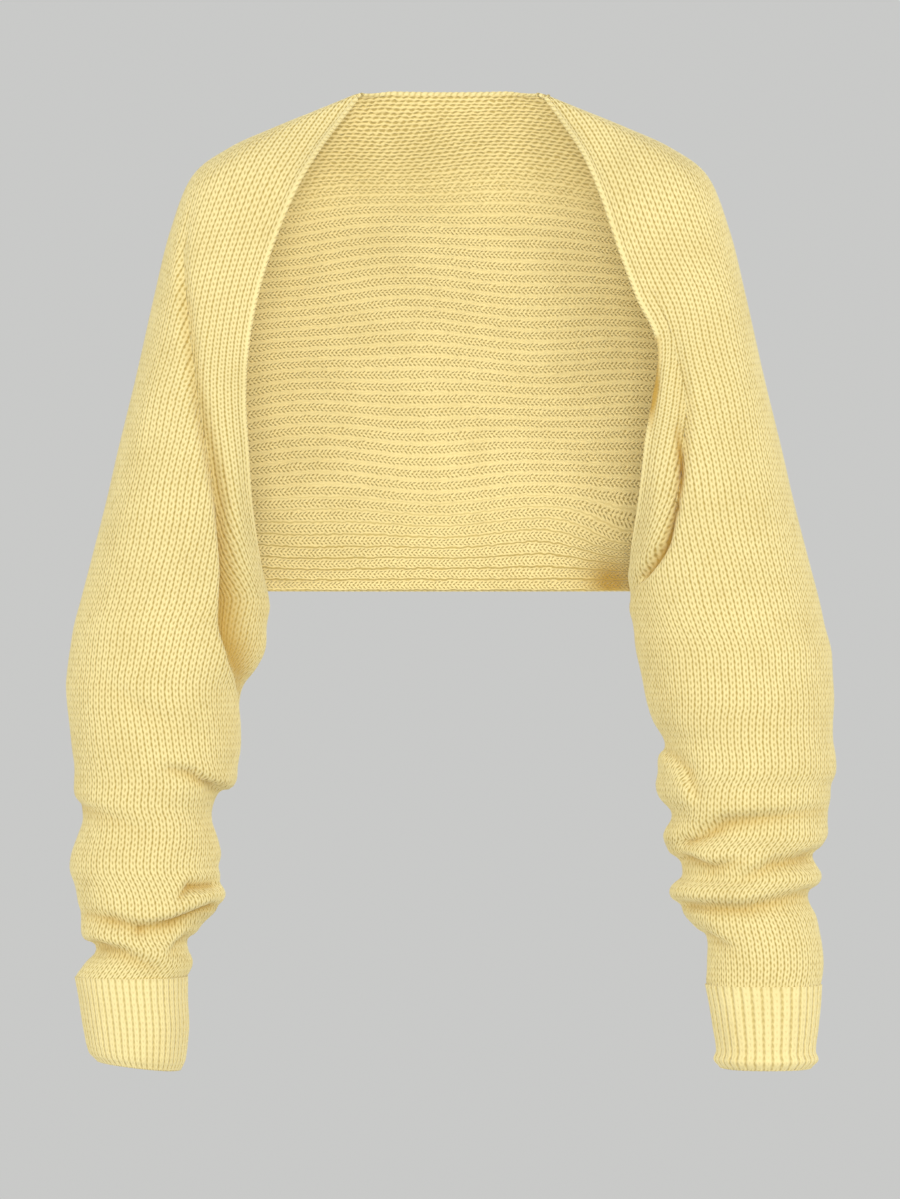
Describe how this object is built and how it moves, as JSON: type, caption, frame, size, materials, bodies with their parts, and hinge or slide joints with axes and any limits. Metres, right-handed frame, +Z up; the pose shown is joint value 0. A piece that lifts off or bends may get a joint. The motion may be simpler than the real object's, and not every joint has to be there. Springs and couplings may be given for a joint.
{
  "type": "cropped cardigan",
  "caption": "Chunky knitted cropped cardigan, open in front with no closure, long puffed sleeves and ribbed cuffs, in its worn shape.",
  "frame": {"origin": "middle of the back neck edge, where the wearer's neck and shoulders hold the garment up", "axes": "+Z up, front of the garment towards -Y, wearer's left towards +X"},
  "size_m": [0.597, 0.1421, 0.7555],
  "materials": {
    "knit": "matt soft chunky yarn, pale yellow",
    "knit_rib": "matt soft chunky yarn in rib, pale yellow"
  },
  "bodies": {
    "root": {"back": "knit", "sleeve_right": "knit", "sleeve_left": "knit", "cuff_right": "knit_rib", "cuff_left": "knit_rib"}
  },
  "joints": []
}
